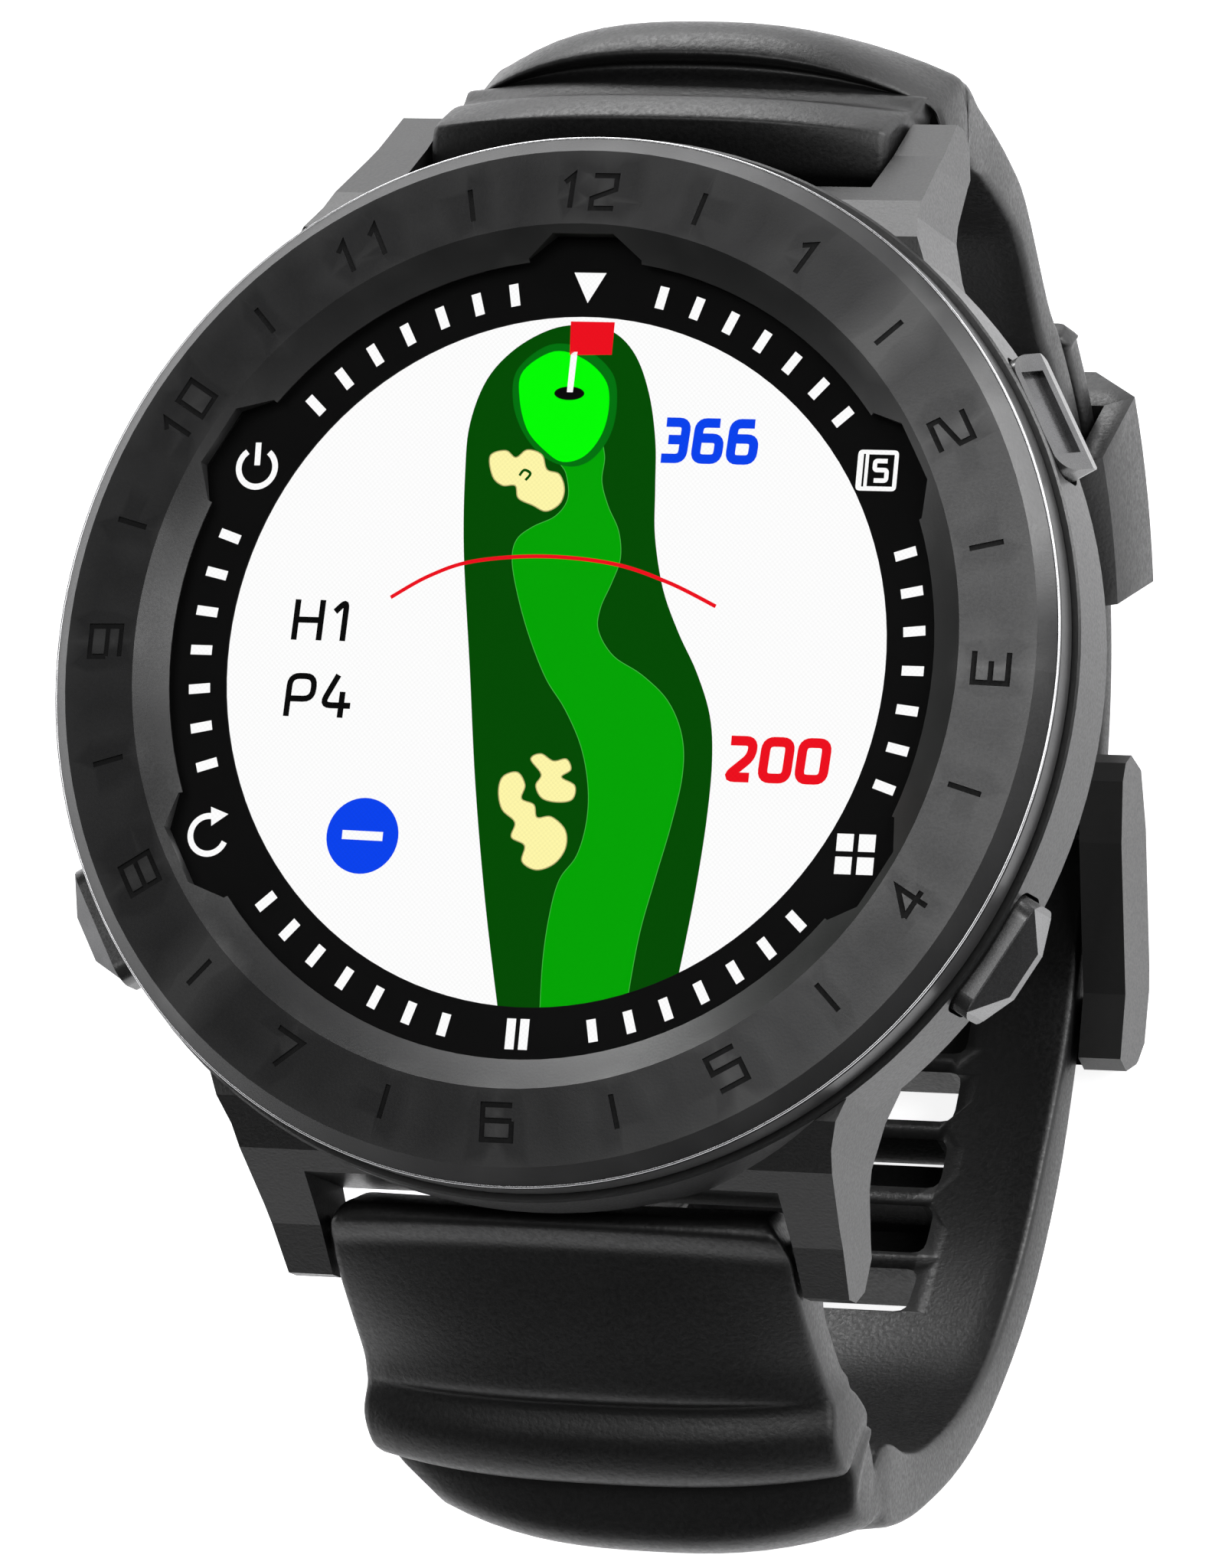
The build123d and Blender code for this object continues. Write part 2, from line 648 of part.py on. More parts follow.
def buckle_frame():
    """Side plates, far bar with a rest for the tongue, and holes for the spring bar."""
    side = [(3.8, 5.6), (3.4, 4.0), (0.9, 2.55), (-5.2, 0.25), (-6.2, 0.0), (-8.7, 0.0),
            (-9.8, 0.8), (-10.4, 2.3), (-10.0, 3.3), (-7.0, 3.4), (-0.4, 5.9), (2.4, 6.5),
            (3.3, 6.3)]
    body = across(side, buckle_w)
    body -= block(-buckle_inner_w / 2, buckle_inner_w / 2, -30, 10, 1.45, 12)
    body -= block(-buckle_inner_w / 2, buckle_inner_w / 2, -6.9, 10, -1, 12)
    body -= block(-1.3, 1.3, -9.6, -6, -1, 1.05)
    body -= x_rod(bar_r + 0.03, buckle_w - 1.0, pivot_y, pivot_z)
    sides = [e for e in body.edges().filter_by(Axis.X) if e.length > buckle_w - 0.1]
    return chamfer(sides, 0.15)


def buckle_tongue():
    """Hub on the spring bar, a leg through the slot and a finger that rests on the far bar."""
    path = [(0.8, 4.3), (-1.4, 4.15), (-2.2, 3.4), (-2.6, 1.1), (-3.4, 0.62), (-9.3, 0.5)]
    line = Polyline(*path)
    flat = trace(line, 0.8)
    sheet = extrude(flat, amount=0.95, both=True)
    arm = Plane(origin=(0, 0, 0), x_dir=(0, 1, 0), z_dir=(1, 0, 0)) * sheet
    hub = x_rod(1.3, 2.6, pivot_y, pivot_z)
    return hub + arm - x_rod(bar_r + 0.03, 10, pivot_y, pivot_z)


def spring_bar(length, y, z):
    """Tube with a spring-loaded pin at each end."""
    body = x_rod(bar_r, length - 2.0, y, z) + x_rod(0.45, length, y, z)
    return body


def lug_spring_bars():
    full = lug_gap + 2.1
    return group([spring_bar(full, bar_y, bar_z), spring_bar(full, -bar_y, bar_z)])


# ---- write every node ---------------------------------------------------------------
def build_nodes():
    bezel, marks = bezel_ring()
    nodes = {
        "mid_case": mid_case(),
        "bezel_ring": bezel,
        "bezel_marks": marks,
        "crystal": crystal(),
        "crystal_gasket": crystal_gasket(),
        "dial_mask": dial_mask(),
        "display_panel": display_panel(),
        "light_guide": light_guide(),
        "chassis": chassis(),
        "gps_antenna": gps_antenna(),
        "main_board": main_board(),
        "board_chips": board_chips(),
        "battery": battery(),
        "vibration_motor": vibration_motor(),
        "button_switches": button_switches(),
        "pusher_tubes": pusher_tubes(),
        "button_seals": button_seals(),
        "case_back": case_back(),
        "back_gasket": back_gasket(),
        "back_screws": back_screws(),
        "charging_contacts": charging_contacts(),
        "lug_spring_bars": lug_spring_bars(),
        "strap_short": short_strap(),
        "strap_long": long_strap(),
        "keeper_loop": keeper_loop(),
        "buckle_frame": buckle_frame(),
        "buckle_tongue": buckle_tongue(),
        "buckle_spring_bar": spring_bar(buckle_w - 1.2, pivot_y, pivot_z),
    }
    for name, angle in button_angles.items():
        nodes["button_" + name] = button(name, angle)
        nodes["spring_" + name] = button_spring(angle)
        nodes["clip_" + name] = button_clip(angle)
    return nodes


os.makedirs("parts", exist_ok=True)
for name, shape in build_nodes().items():
    export_step(Pos(0, loop_shift, 0) * shape, "parts/" + name + ".step")
    print(name, "written")
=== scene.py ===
import math

import bmesh
import bpy
from mathutils import Matrix, Vector


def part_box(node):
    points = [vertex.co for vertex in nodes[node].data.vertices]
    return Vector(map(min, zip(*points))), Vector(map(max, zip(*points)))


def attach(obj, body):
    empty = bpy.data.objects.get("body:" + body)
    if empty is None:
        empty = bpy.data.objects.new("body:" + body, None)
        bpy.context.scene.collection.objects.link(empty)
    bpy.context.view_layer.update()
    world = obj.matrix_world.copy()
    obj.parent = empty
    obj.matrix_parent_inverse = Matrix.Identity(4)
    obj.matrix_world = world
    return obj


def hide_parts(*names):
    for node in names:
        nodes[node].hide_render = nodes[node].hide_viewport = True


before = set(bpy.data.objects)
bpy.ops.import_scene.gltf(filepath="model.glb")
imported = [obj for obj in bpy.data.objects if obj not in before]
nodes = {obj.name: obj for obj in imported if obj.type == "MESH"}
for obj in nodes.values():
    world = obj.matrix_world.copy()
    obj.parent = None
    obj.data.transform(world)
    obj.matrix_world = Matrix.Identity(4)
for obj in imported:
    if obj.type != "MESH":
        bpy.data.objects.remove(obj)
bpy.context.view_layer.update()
mm = 0.001

# everything below is drawn in millimetres about the dial's own axis
bezelLow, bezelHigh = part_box("bezel_ring")
dialMid = ((bezelLow.x + bezelHigh.x) / 2, (bezelLow.y + bezelHigh.y) / 2)
rimZ = bezelHigh.z / mm
print("frame loaded, rim at", round(rimZ, 2), "mm")


def place(x, y, z):
    return Vector((dialMid[0] + x * mm, dialMid[1] + y * mm, z * mm))


def addPiece(name, points, faces, finish, body="watch", smooth=False):
    mesh = bpy.data.meshes.new(name)
    mesh.from_pydata(points, [], faces)
    mesh.validate()
    for polygon in mesh.polygons:
        polygon.use_smooth = smooth
    mesh.materials.append(finish)
    piece = bpy.data.objects.new(name, mesh)
    bpy.context.scene.collection.objects.link(piece)
    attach(piece, body)
    return piece


def applied(piece):
    # bakes the modifiers into the mesh
    view = bpy.context.evaluated_depsgraph_get()
    mesh = bpy.data.meshes.new_from_object(piece.evaluated_get(view))
    piece.modifiers.clear()
    piece.data = mesh
    return piece


def facesOut(mesh):
    # turns every face outwards
    work = bmesh.new()
    work.from_mesh(mesh)
    bmesh.ops.recalc_face_normals(work, faces=work.faces)
    work.to_mesh(mesh)
    work.free()


# finishes: colour is a pair that the broad mottling runs between, rough a pair for the fine one;
# wear is the shade of rubbed edges, flatTop how far up a face looks before its bump is levelled,
# glow is light of its own
finishes = {
    "strapRubber": {"colour": (0.003, 0.0055), "rough": (0.36, 0.5), "specular": 0.45,
                    "grain": 5200, "bump": 0.5, "bumpDepth": 0.00003, "mottle": 160},
    "caseBlack": {"colour": (0.003, 0.005), "rough": (0.32, 0.42), "specular": 0.5,
                  "grain": 7000, "bump": 0.35, "bumpDepth": 0.00002, "mottle": 220},
    "bezelGrey": {"colour": (0.024, 0.028), "rough": (0.3, 0.36), "specular": 0.5, "metal": 0.45,
                  "grain": 9000, "bump": 0.25, "bumpDepth": 0.00001, "mottle": 300, "wear": 0.07,
                  "flatTop": 0.96},
    "engraving": {"colour": (0.004, 0.008), "rough": (0.6, 0.75), "specular": 0.2,
                  "grain": 8000, "bump": 0.3, "bumpDepth": 0.00001, "mottle": 400},
    "buttonMetal": {"colour": (0.09, 0.12), "rough": (0.22, 0.3), "specular": 0.5, "metal": 0.9,
                    "grain": 9000, "bump": 0.12, "bumpDepth": 0.00001, "mottle": 500, "wear": 0.12},
    # the buckle's own dark metal; on the lug spring bars this dark finish is painted shade for the shaded
    # gap at the lugs
    "buckleMetalAndBarShade": {"colour": (0.009, 0.014), "rough": (0.3, 0.42), "specular": 0.5, "metal": 0.5,
                    "grain": 8000, "bump": 0.2, "bumpDepth": 0.00001, "mottle": 300, "wear": 0.05},
    "steel": {"colour": (0.42, 0.52), "rough": (0.25, 0.38), "specular": 0.5, "metal": 1.0,
              "grain": 9000, "bump": 0.1, "bumpDepth": 0.00001, "mottle": 500},
    "polished": {"colour": (0.5, 0.62), "rough": (0.2, 0.3), "specular": 0.5, "metal": 1.0,
                 "grain": 9000, "bump": 0.05, "bumpDepth": 0.000004, "mottle": 500},
    "gold": {"colour": (0.55, 0.7), "tint": (1.0, 0.78, 0.38), "rough": (0.2, 0.3), "specular": 0.5,
             "metal": 1.0, "grain": 9000, "bump": 0.1, "bumpDepth": 0.00001, "mottle": 500},
    "dialBlack": {"colour": (0.0012, 0.002), "rough": (0.5, 0.62), "specular": 0.05,
                  "grain": 9000, "bump": 0.1, "bumpDepth": 0.000004, "mottle": 300},
    "seal": {"colour": (0.008, 0.014), "rough": (0.6, 0.75), "specular": 0.3,
             "grain": 6000, "bump": 0.3, "bumpDepth": 0.00002, "mottle": 200},
    "board": {"colour": (0.10, 0.16), "tint": (0.15, 1.0, 0.4), "rough": (0.35, 0.5),
              "specular": 0.5, "grain": 4000, "bump": 0.3, "bumpDepth": 0.00003, "mottle": 900},
    "chip": {"colour": (0.012, 0.02), "rough": (0.5, 0.65), "specular": 0.4,
             "grain": 7000, "bump": 0.3, "bumpDepth": 0.00002, "mottle": 500},
    "ceramic": {"colour": (0.55, 0.66), "tint": (1.0, 0.92, 0.78), "rough": (0.5, 0.65),
                "specular": 0.4, "grain": 5000, "bump": 0.3, "bumpDepth": 0.00002, "mottle": 300},
    "foil": {"colour": (0.5, 0.62), "rough": (0.3, 0.45), "specular": 0.5, "metal": 0.9,
             "grain": 2500, "bump": 0.4, "bumpDepth": 0.00005, "mottle": 300},
    "floor": {"colour": (0.86, 0.9), "rough": (0.7, 0.8), "specular": 0.2,
              "grain": 900, "bump": 0.05, "bumpDepth": 0.00005, "mottle": 12, "glow": 0.86},
}


# which part of a noise is used, where the colour ramp starts and ends, and how sharp an edge wears
shading = {"noise": (0.3, 0.7), "ramp": (0.35, 0.65), "edge": (0.52, 0.62), "mottleDetail": 3.0,
           "grainDetail": 2.0, "tint": (1.0, 1.0, 1.02)}


def makeFinish(name):
    look = finishes[name]
    finish = bpy.data.materials.new(name)
    finish.use_nodes = True
    tree = finish.node_tree
    shader = tree.nodes["Principled BSDF"]
    shader.inputs["Metallic"].default_value = look.get("metal", 0.0)
    shader.inputs["Specular IOR Level"].default_value = look["specular"]
    where = tree.nodes.new("ShaderNodeTexCoord")

    def noise(scale, detail):
        node = tree.nodes.new("ShaderNodeTexNoise")
        node.inputs["Scale"].default_value = scale
        node.inputs["Detail"].default_value = detail
        tree.links.new(where.outputs["Object"], node.inputs["Vector"])
        return node

    def spread(node, low, high):
        span = tree.nodes.new("ShaderNodeMapRange")
        span.inputs["From Min"].default_value, span.inputs["From Max"].default_value = shading["noise"]
        span.inputs["To Min"].default_value = low
        span.inputs["To Max"].default_value = high
        tree.links.new(node.outputs["Fac"], span.inputs["Value"])
        return span

    mottle = noise(look["mottle"], shading["mottleDetail"])
    grain = noise(look["grain"], shading["grainDetail"])
    tint = look.get("tint", shading["tint"])
    colour = tree.nodes.new("ShaderNodeValToRGB")
    for stop, level in zip(colour.color_ramp.elements, look["colour"]):
        stop.color = [level * part for part in tint] + [1.0]
    colour.color_ramp.elements[0].position, colour.color_ramp.elements[1].position = shading["ramp"]
    tree.links.new(mottle.outputs["Fac"], colour.inputs["Fac"])
    last = colour.outputs["Color"]
    if "wear" in look:
        # rubbed edges are a little paler
        shape = tree.nodes.new("ShaderNodeNewGeometry")
        edge = tree.nodes.new("ShaderNodeMapRange")
        edge.inputs["From Min"].default_value, edge.inputs["From Max"].default_value = shading["edge"]
        tree.links.new(shape.outputs["Pointiness"], edge.inputs["Value"])
        worn = tree.nodes.new("ShaderNodeMixRGB")
        worn.inputs["Color2"].default_value = (look["wear"],) * 3 + (1.0,)
        tree.links.new(edge.outputs["Result"], worn.inputs["Fac"])
        tree.links.new(last, worn.inputs["Color1"])
        last = worn.outputs["Color"]
    tree.links.new(last, shader.inputs["Base Color"])
    tree.links.new(spread(grain, *look["rough"]).outputs["Result"], shader.inputs["Roughness"])
    bump = tree.nodes.new("ShaderNodeBump")
    bump.inputs["Strength"].default_value = look["bump"]
    bump.inputs["Distance"].default_value = look["bumpDepth"]
    tree.links.new(grain.outputs["Fac"], bump.inputs["Height"])
    if "flatTop" in look:
        # faces that look straight up keep their own normal, so that cuts in them don't smear it
        facing = tree.nodes.new("ShaderNodeNewGeometry")
        parts = tree.nodes.new("ShaderNodeSeparateXYZ")
        tree.links.new(facing.outputs["True Normal"], parts.inputs["Vector"])
        isTop = tree.nodes.new("ShaderNodeMath")
        isTop.operation = "GREATER_THAN"
        isTop.inputs[1].default_value = look["flatTop"]
        tree.links.new(parts.outputs["Z"], isTop.inputs[0])
        choice = tree.nodes.new("ShaderNodeMixRGB")
        tree.links.new(isTop.outputs["Value"], choice.inputs["Fac"])
        tree.links.new(facing.outputs["Normal"], choice.inputs["Color1"])
        tree.links.new(facing.outputs["True Normal"], choice.inputs["Color2"])
        tree.links.new(choice.outputs["Color"], bump.inputs["Normal"])
    tree.links.new(bump.outputs["Normal"], shader.inputs["Normal"])
    if "glow" in look:
        shader.inputs["Emission Color"].default_value = (1.0, 1.0, 1.0, 1.0)
        shader.inputs["Emission Strength"].default_value = look["glow"]
    return finish


# lit colours of the display, each with a faint raster; the white is also put on the printed dial ring
# marks, where its glow is painted light
inks = {
    "whiteScreenLightAndPaintedGlow": (1.0, 1.0, 1.0),
    "inkRough": (0.0, 0.07, 0.0),
    "inkFairway": (0.0, 0.38, 0.0),
    "inkFairwayEdge": (0.05, 0.46, 0.05),
    "inkFringe": (0.0, 0.17, 0.004),
    "inkGreen": (0.0, 1.0, 0.0),
    "inkSand": (1.0, 0.93, 0.4),
    "inkSandEdge": (0.45, 0.42, 0.16),
    "inkRed": (0.86, 0.004, 0.012),
    "inkBlue": (0.002, 0.055, 0.86),
    "inkBlack": (0.002, 0.002, 0.002),
}
displayRaster = {"scale": 9000, "fade": 0.05, "glow": 1.1, "rough": 0.6}


def makeInk(name):
    finish = bpy.data.materials.new(name)
    finish.use_nodes = True
    tree = finish.node_tree
    shader = tree.nodes["Principled BSDF"]
    where = tree.nodes.new("ShaderNodeTexCoord")
    raster = tree.nodes.new("ShaderNodeTexChecker")
    faded = [part * (1 - displayRaster["fade"]) for part in inks[name]]
    raster.inputs["Scale"].default_value = displayRaster["scale"]
    raster.inputs["Color1"].default_value = [*inks[name], 1.0]
    raster.inputs["Color2"].default_value = [*faded, 1.0]
    tree.links.new(where.outputs["Object"], raster.inputs["Vector"])
    tree.links.new(raster.outputs["Color"], shader.inputs["Emission Color"])
    shader.inputs["Base Color"].default_value = (0.0, 0.0, 0.0, 1.0)
    shader.inputs["Specular IOR Level"].default_value = 0.0
    shader.inputs["Roughness"].default_value = displayRaster["rough"]
    shader.inputs["Emission Strength"].default_value = displayRaster["glow"]
    return finish


# clear glass or plastic with faint smears in its polish; the smears run between two shares of rough
clears = {"base": 0.02, "ior": 1.5, "smear": 120, "smoothest": 0.5, "roughest": 1.5}


def makeClear(name, alpha, rough):
    finish = bpy.data.materials.new(name)
    finish.use_nodes = True
    tree = finish.node_tree
    shader = tree.nodes["Principled BSDF"]
    shader.inputs["Base Color"].default_value = (clears["base"],) * 3 + (1.0,)
    shader.inputs["Alpha"].default_value = alpha
    shader.inputs["IOR"].default_value = clears["ior"]
    where = tree.nodes.new("ShaderNodeTexCoord")
    smear = tree.nodes.new("ShaderNodeTexNoise")
    smear.inputs["Scale"].default_value = clears["smear"]
    tree.links.new(where.outputs["Object"], smear.inputs["Vector"])
    span = tree.nodes.new("ShaderNodeMapRange")
    span.inputs["To Min"].default_value = rough * clears["smoothest"]
    span.inputs["To Max"].default_value = rough * clears["roughest"]
    tree.links.new(smear.outputs["Fac"], span.inputs["Value"])
    tree.links.new(span.outputs["Result"], shader.inputs["Roughness"])
    return finish


made = {name: makeFinish(name) for name in finishes}
made.update({name: makeInk(name) for name in inks})
made["crystalClear"] = makeClear("crystalClear", 0.05, 0.04)
made["guideClear"] = makeClear("guideClear", 0.35, 0.2)
print("finishes made:", len(made))

# which finish each carried-over node wears
nodeFinish = {
    "caseBlack": ["mid_case", "case_back", "chassis"],
    "bezelGrey": ["bezel_ring"],
    "engraving": ["bezel_marks"],
    "crystalClear": ["crystal"],
    "guideClear": ["light_guide"],
    "seal": ["crystal_gasket", "button_seals", "back_gasket"],
    "dialBlack": ["dial_mask"],
    "whiteScreenLightAndPaintedGlow": ["display_panel"],
    "ceramic": ["gps_antenna"],
    "board": ["main_board"],
    "chip": ["board_chips", "button_switches"],
    "foil": ["battery"],
    "steel": ["vibration_motor", "pusher_tubes", "back_screws"],
    "gold": ["charging_contacts"],
    # the lug spring bars are bright steel and wear the dark buckle finish as painted shade, for the gap
    # between lug and strap that lies in shade
    "buckleMetalAndBarShade": ["buckle_frame", "buckle_tongue", "lug_spring_bars", "buckle_spring_bar"],
}
for button in ("score", "menu", "back", "power"):
    nodeFinish["buttonMetal"] = nodeFinish.get("buttonMetal", []) + ["button_" + button]
    nodeFinish["steel"] += ["spring_" + button, "clip_" + button]
for finish, names in nodeFinish.items():
    for name in names:
        nodes[name].data.materials.clear()
        nodes[name].data.materials.append(made[finish])
print("nodes painted")


# flat shapes
def roundedPath(points, radius, closed=False, steps=5):
    # rounds the corners of a path with short arcs
    path = []
    count = len(points)
    for i, point in enumerate(points):
        corner = Vector(point)
        if not closed and i in (0, count - 1):
            path.append(corner)
            continue
        before = Vector(points[i - 1]) - corner
        after = Vector(points[(i + 1) % count]) - corner
        reach = min(radius, before.length / 2, after.length / 2)
        start = corner + before.normalized() * reach
        end = corner + after.normalized() * reach
        for step in range(steps + 1):
            t = step / steps
            path.append(start * (1 - t) ** 2 + corner * 2 * t * (1 - t) + end * t ** 2)
    return path


def smoothPath(points, closed=True, steps=6):
    # a smooth line through every point
    path = []
    count = len(points)
    last = count if closed else count - 1
    for i in range(last):
        if closed:
            a, b, c, d = (Vector(points[(i + k) % count]) for k in (-1, 0, 1, 2))
        else:
            a, b, c, d = (Vector(points[min(max(i + k, 0), count - 1)]) for k in (-1, 0, 1, 2))
        for step in range(steps):
            t = step / steps
            path.append(0.5 * (2 * b + (c - a) * t + (2 * a - 5 * b + 4 * c - d) * t ** 2
                               + (3 * b - 3 * c + d - a) * t ** 3))
    if not closed:
        path.append(Vector(points[-1]))
    return path


def strokeFaces(path, width, closed=False):
    # quads along a path with mitred corners
    points = [Vector(p) for p in path]
    points = [p for i, p in enumerate(points) if i == 0 or (p - points[i - 1]).length > 1e-6]
    count = len(points)
    rows = []
    for i, point in enumerate(points):
        ways = []
        if closed or i > 0:
            ways.append((point - points[i - 1]).normalized())
        if closed or i < count - 1:
            ways.append((points[(i + 1) % count] - point).normalized())
        side = sum((Vector((-way.y, way.x)) for way in ways), Vector((0, 0))).normalized()
        first = Vector((-ways[0].y, ways[0].x))
        reach = width / 2 / max(side.dot(first), 0.45)
        rows.append((point + side * reach, point - side * reach))
    pairs = range(count) if closed else range(count - 1)
    return [[rows[i][0], rows[i][1], rows[(i + 1) % count][1], rows[(i + 1) % count][0]] for i in pairs]


def flatPiece(name, shapes, z, finish):
    points, faces = [], []
    for shape in shapes:
        start = len(points)
        area = sum(a[0] * b[1] - b[0] * a[1] for a, b in zip(shape, list(shape[1:]) + [shape[0]]))
        ordered = shape if area > 0 else list(reversed(shape))
        points += [place(p[0], p[1], z) for p in ordered]
        faces.append(list(range(start, start + len(ordered))))
    return addPiece(name, points, faces, made[finish])


def arcPath(x, y, radius, start, end, steps=28):
    # clock angles, from the 12 o'clock way round to the right
    angles = [math.radians(start + (end - start) * i / steps) for i in range(steps + 1)]
    return [(x + radius * math.sin(a), y + radius * math.cos(a)) for a in angles]


def turnedShape(shape, x, y, angle):
    turn = Matrix.Rotation(math.radians(-angle), 2)
    return [turn @ Vector(p) + Vector((x, y)) for p in shape]


# dial ring: white minute strokes and symbols; the marks are white print, and the glow they get from the
# display's white is painted light
dial = {"tickIn": 16.0, "tickOut": 17.0, "tickWidth": 0.43, "firstTick": 12, "tickStep": 6,
        "ticksPerSector": 7, "barIn": 15.75, "barOut": 17.1, "barWidth": 0.42, "barGap": 0.62,
        "symbolStroke": 0.27}
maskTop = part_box("dial_mask")[1].z / mm
symbolZ = maskTop + 0.006
tickShape = [(-dial["tickWidth"] / 2, dial["tickIn"]), (dial["tickWidth"] / 2, dial["tickIn"]),
             (dial["tickWidth"] / 2, dial["tickOut"]), (-dial["tickWidth"] / 2, dial["tickOut"])]
ticks = []
for sector in range(6):
    for step in range(dial["ticksPerSector"]):
        angle = sector * 60 + dial["firstTick"] + step * dial["tickStep"]
        ticks.append(turnedShape(tickShape, 0, 0, angle))
for side in (-1, 1):
    mid, half = side * dial["barGap"] / 2, dial["barWidth"] / 2
    ticks.append([(mid - half, -dial["barOut"]), (mid + half, -dial["barOut"]),
                  (mid + half, -dial["barIn"]), (mid - half, -dial["barIn"])])
flatPiece("dial_ticks", ticks, symbolZ, "whiteScreenLightAndPaintedGlow")

stroke = dial["symbolStroke"]
powerX, powerY = -14.75, 8.2
powerMark = strokeFaces(arcPath(powerX, powerY, 0.86, 36, 324), stroke)
powerMark += strokeFaces([(powerX, powerY + 0.1), (powerX - 0.03, powerY + 1.12)], stroke)
flatPiece("dial_power", powerMark, symbolZ, "whiteScreenLightAndPaintedGlow")

cardX, cardY = 14.05, 8.72
cardCorners = [(-0.93, -0.9), (0.93, -0.9), (0.93, 0.9), (-0.93, 0.9)]
card = roundedPath([(cardX + x, cardY + y) for x, y in cardCorners], 0.22, closed=True)
flatPiece("dial_card", [card], symbolZ, "whiteScreenLightAndPaintedGlow")
pageCorners = [(-0.42, -0.7), (0.74, -0.7), (0.74, 0.7), (-0.42, 0.7)]
page = [[(cardX + x, cardY + y) for x, y in pageCorners]]
page += strokeFaces([(cardX - 0.62, cardY - 0.72), (cardX - 0.62, cardY + 0.72)], 0.09)
flatPiece("dial_card_page", page, symbolZ + 0.003, "dialBlack")
letterS = [(0.28, 0.42), (-0.28, 0.42), (-0.28, 0.02), (0.28, 0.02), (0.28, -0.44), (-0.28, -0.44)]
letterPath = roundedPath([(cardX + 0.16 + x, cardY + y) for x, y in letterS], 0.12)
flatPiece("dial_card_letter", strokeFaces(letterPath, 0.2), symbolZ + 0.006, "whiteScreenLightAndPaintedGlow")

gridX, gridY, cell, gap = 14.65, -8.05, 0.38, 0.12
squares = []
for sx in (-1, 1):
    for sy in (-1, 1):
        x, y = gridX + sx * (cell + gap), gridY + sy * (cell + gap)
        squares.append([(x - cell, y - cell), (x + cell, y - cell), (x + cell, y + cell),
                        (x - cell, y + cell)])
flatPiece("dial_menu", squares, symbolZ, "whiteScreenLightAndPaintedGlow")

backX, backY = -15.3, -8.2
backMark = strokeFaces(arcPath(backX, backY, 0.84, 10, -250), stroke)
backMark.append([(backX + 0.0, backY + 1.25), (backX + 0.85, backY + 0.95), (backX + 0.1, backY + 0.4)])
flatPiece("dial_back", backMark, symbolZ, "whiteScreenLightAndPaintedGlow")
flatPiece("dial_north", [[(-0.75, 17.2), (0.75, 17.2), (0.0, 15.85)]], symbolZ, "whiteScreenLightAndPaintedGlow")
print("dial symbols drawn")

# hole map on the display, from the rough up to the flag
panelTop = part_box("display_panel")[1].z / mm
layer = 0.003


def ink(name, shapes, level, finish):
    flatPiece("display_" + name, shapes, panelTop + level * layer, finish)


rough = [(-1.0, -15.6), (-2.1, -10.8), (-3.1, -5.6), (-3.9, -0.4), (-4.7, 4.7), (-5.0, 8.2),
         (-5.0, 10.4), (-4.4, 12.4), (-3.2, 13.8), (-1.6, 14.7), (-0.1, 14.9), (1.3, 14.6), (2.4, 13.6),
         (3.2, 11.9), (3.7, 9.8), (3.9, 7.7), (4.1, 5.6), (4.7, 3.3), (5.6, 1.4), (6.6, -0.3),
         (7.4, -2.2), (7.7, -4.2), (7.7, -6.8), (7.5, -9.8), (7.2, -12.6), (6.9, -15.0)]
ink("rough", [smoothPath(rough, closed=False)], 1, "inkRough")
fairway = [(0.9, -15.6), (0.8, -13.2), (0.9, -11.2), (1.2, -9.6), (1.9, -8.5), (2.2, -7.0), (2.1, -5.4),
           (1.6, -3.7), (0.7, -2.1), (-0.3, -0.8), (-1.2, 0.9), (-1.9, 2.6), (-2.4, 4.3), (-2.3, 5.3),
           (-1.6, 5.9), (-0.6, 6.4), (-0.1, 7.2), (-0.3, 8.3), (-0.8, 9.2), (0.8, 10.2), (1.4, 9.2),
           (1.4, 8.0), (1.8, 6.9), (2.4, 5.8), (2.6, 4.6), (2.3, 3.5), (1.9, 2.4), (1.9, 1.4), (2.7, 0.3),
           (4.1, -0.5), (5.4, -1.6), (6.2, -3.1), (6.4, -4.8), (6.1, -7.0), (5.6, -9.4), (5.1, -12.0),
           (4.8, -15.4)]
fairwayLine = smoothPath(fairway, closed=False)
ink("fairway", [fairwayLine], 2, "inkFairway")
ink("fairway_edge", strokeFaces(fairwayLine, 0.035), 3, "inkFairwayEdge")
fringe = [(-3.0, 12.9), (-1.6, 14.0), (0.1, 13.8), (1.4, 12.8), (1.75, 11.5), (1.6, 10.1), (0.9, 9.0),
          (-0.1, 8.6), (-1.4, 9.0), (-2.5, 10.1), (-3.1, 11.5)]
ink("fringe", [smoothPath(fringe)], 4, "inkFringe")
green = [(-2.75, 12.8), (-1.4, 13.7), (0.0, 13.4), (1.1, 12.5), (1.4, 11.4), (1.2, 10.1), (0.5, 9.1),
         (-0.5, 8.8), (-1.4, 9.3), (-2.3, 10.2), (-2.8, 11.6)]
ink("green", [smoothPath(green)], 5, "inkGreen")
